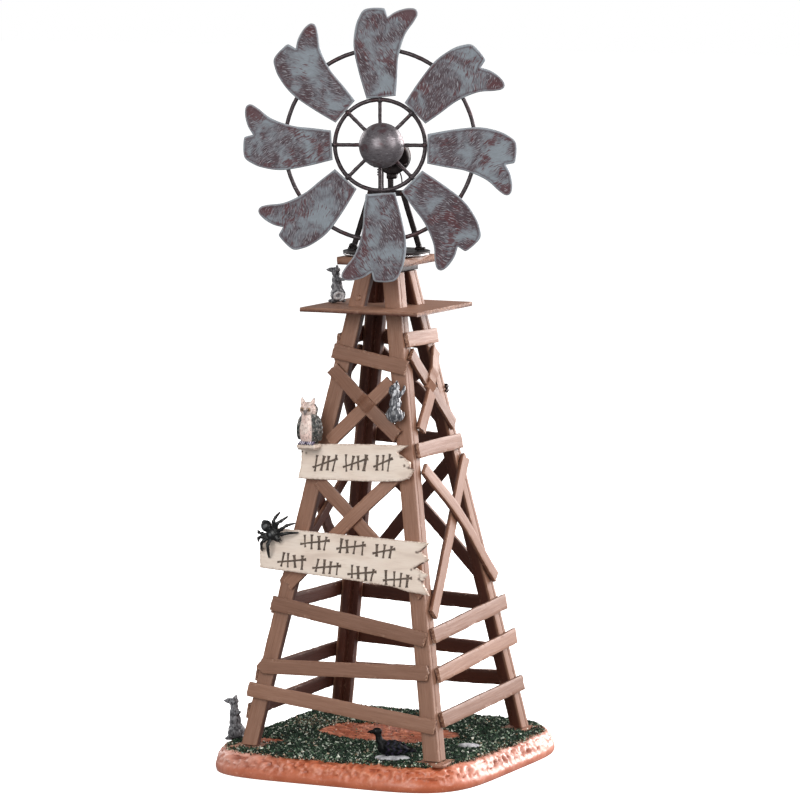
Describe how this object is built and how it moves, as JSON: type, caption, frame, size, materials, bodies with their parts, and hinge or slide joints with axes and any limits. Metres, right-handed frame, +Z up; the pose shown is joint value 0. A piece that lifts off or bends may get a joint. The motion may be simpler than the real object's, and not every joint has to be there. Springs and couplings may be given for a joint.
{
  "type": "tabletop windmill ornament",
  "caption": "Tapering slatted timber windmill tower on a moulded earth base, with a deck, blank signs, small animals, a swivelling head and a turning bladed wheel.",
  "frame": {"origin": "the point of the base's flat underside that lies under the tower's axis", "axes": "+Z up the tower's axis; -Y is the front, the face with the two signs; +X is to the right as seen from the front"},
  "size_m": [0.1129, 0.1164, 0.2885],
  "materials": {
    "timber": "matt brown stain on thin softwood battens, chipped pale at the ends",
    "earth": "moulded resin painted as orange rock, with dark green flock on top",
    "sign_paint": "matt cream paint with brown painted strokes",
    "owl_paint": "painted resin, cream front and grey wings",
    "black_resin": "black painted resin with a slight sheen",
    "grey_resin": "grey painted resin, dry-brushed paler",
    "black_metal": "satin black",
    "worn_steel": "dark steel rubbed bright on the edges, with maroon rust stains",
    "weathered_zinc": "blue-grey zinc with dark diagonal scratches and maroon rust patches"
  },
  "bodies": {
    "tower": {"base_slab": "earth", "cap_board": "timber", "cross_back_lower_inner": "timber", "cross_back_lower_outer": "timber", "cross_back_upper": "timber", "cross_front_lower_inner": "timber", "cross_front_lower_outer": "timber", "cross_front_upper": "timber", "cross_left_lower_inner": "timber", "cross_left_lower_outer": "timber", "cross_left_upper": "timber", "cross_right_lower_inner": "timber", "cross_right_lower_outer": "timber", "cross_right_upper": "timber", "crow": "black_resin", "deck": "timber", "leg_back_left": "timber", "leg_back_right": "timber", "leg_front_left": "timber", "leg_front_right": "timber", "owl": "owl_paint", "pivot_block": "black_metal", "rail_back_belt": "timber", "rail_back_high": "timber", "rail_back_low": "timber", "rail_back_mid": "timber", "rail_back_top": "timber", "rail_front_high": "timber", "rail_front_low": "timber", "rail_front_mid": "timber", "rail_front_top": "timber", "rail_left_high": "timber", "rail_left_low": "timber", "rail_left_mid": "timber", "rail_left_top": "timber", "rail_right_belt": "timber", "rail_right_high": "timber", "rail_right_low": "timber", "rail_right_mid": "timber", "rail_right_top": "timber", "rat_base": "grey_resin", "rat_climbing": "grey_resin", "rat_deck": "grey_resin", "sign_lower": "sign_paint", "sign_upper": "sign_paint", "spider": "black_resin"},
    "head": {"swivel_plate": "black_metal", "mast_frame": "black_metal", "gear_motor": "black_metal"},
    "wheel": {"rotor_shaft": "worn_steel", "hub_dome": "worn_steel", "wheel_frame": "worn_steel", "blade_1": "weathered_zinc", "blade_2": "weathered_zinc", "blade_3": "weathered_zinc", "blade_4": "weathered_zinc", "blade_5": "weathered_zinc", "blade_6": "weathered_zinc", "blade_7": "weathered_zinc", "blade_8": "weathered_zinc"}
  },
  "joints": [
    {"name": "head_yaw", "type": "hinge", "parent": "tower", "child": "head", "pos_m": [0, 0, 0.1945], "axis": [0, 0, 1], "range_deg": [-90, 90]},
    {"name": "wheel_spin", "type": "hinge", "parent": "head", "child": "wheel", "pos_m": [0.00838, -0.02302, 0.2375], "axis": [0.342, -0.9397, 0], "continuous": true}
  ]
}
